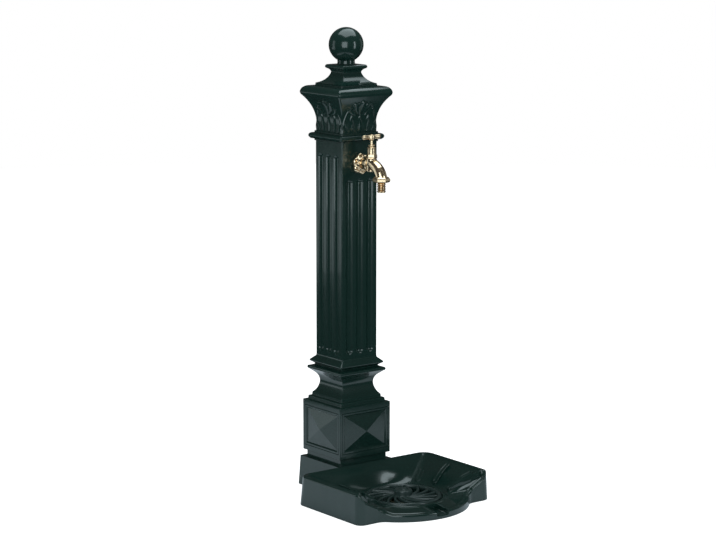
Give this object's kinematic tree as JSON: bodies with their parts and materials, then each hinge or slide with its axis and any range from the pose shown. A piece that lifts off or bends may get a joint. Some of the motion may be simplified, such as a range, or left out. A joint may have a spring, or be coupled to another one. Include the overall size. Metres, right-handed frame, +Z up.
{
  "type": "garden standpipe",
  "caption": "Cast square fluted column with capital and ball, brass screw-down tap with hose union, and a dished catch basin with a lift-out swirl grate in front of its foot.",
  "frame": {"origin": "on the column's axis at the ground, in the middle of the four anchor holes", "axes": "+Z up along the column, -Y to the front where tap and basin are, +X to the right seen from the front"},
  "size_m": [0.367, 0.435, 1.0649],
  "materials": {
    "paint": "gloss",
    "brass": "polished",
    "steel": "zinc plated",
    "rubber": "matt"
  },
  "bodies": {
    "standpipe": {"foot_casting": "paint", "pedestal_casting": "paint", "shaft_casting": "paint", "capital_casting": "paint", "cap_casting": "paint", "ball_finial": "paint", "tie_rod": "steel", "tie_bar": "steel", "tie_washer": "steel", "tie_nut": "steel", "basin_casting": "paint", "basin_bolts": "steel", "basin_nuts": "steel", "drain_waste": "brass", "drain_gasket": "rubber", "drain_locknut": "brass", "supply_pipe": "steel", "inlet_coupling": "brass", "wall_elbow": "brass", "elbow_gasket": "rubber", "rosette": "brass", "tap_body": "brass", "bonnet": "brass", "bonnet_gasket": "rubber", "gland_nut": "brass", "gland_packing": "rubber"},
    "valve": {"valve_jumper": "brass", "valve_washer": "rubber", "jumper_nut": "brass"},
    "headwork": {"spindle": "brass", "handle": "brass", "handle_screw": "brass"},
    "hose_tail": {"hose_tail": "brass", "union_washer": "rubber"},
    "union_nut": {"union_nut": "brass"},
    "drain_grate": {"drain_grate": "paint"}
  },
  "joints": [
    {"name": "valve_lift", "type": "slide", "parent": "standpipe", "child": "valve", "axis": [0, 0, 1], "range_m": [0, 0.006]},
    {"name": "handle_turn", "type": "hinge", "parent": "valve", "child": "headwork", "pos_m": [0, -0.0945, 0.8], "axis": [0, 0, 1], "range_deg": [0, 720]},
    {"name": "union_release", "type": "slide", "parent": "standpipe", "child": "hose_tail", "axis": [0, 0, -1], "range_m": [0, 0.007]},
    {"name": "union_nut_turn", "type": "hinge", "parent": "hose_tail", "child": "union_nut", "pos_m": [0, -0.131, 0.7313], "axis": [0, 0, -1], "range_deg": [0, 1080]},
    {"name": "grate_lift", "type": "slide", "parent": "standpipe", "child": "drain_grate", "axis": [0, 0, 1], "range_m": [0, 0.08]}
  ],
  "couplings": [
    {"joint": "valve_lift", "follows": "handle_turn", "m_per_rad": 0.000477},
    {"joint": "union_release", "follows": "union_nut_turn", "m_per_rad": 0.0003675}
  ]
}
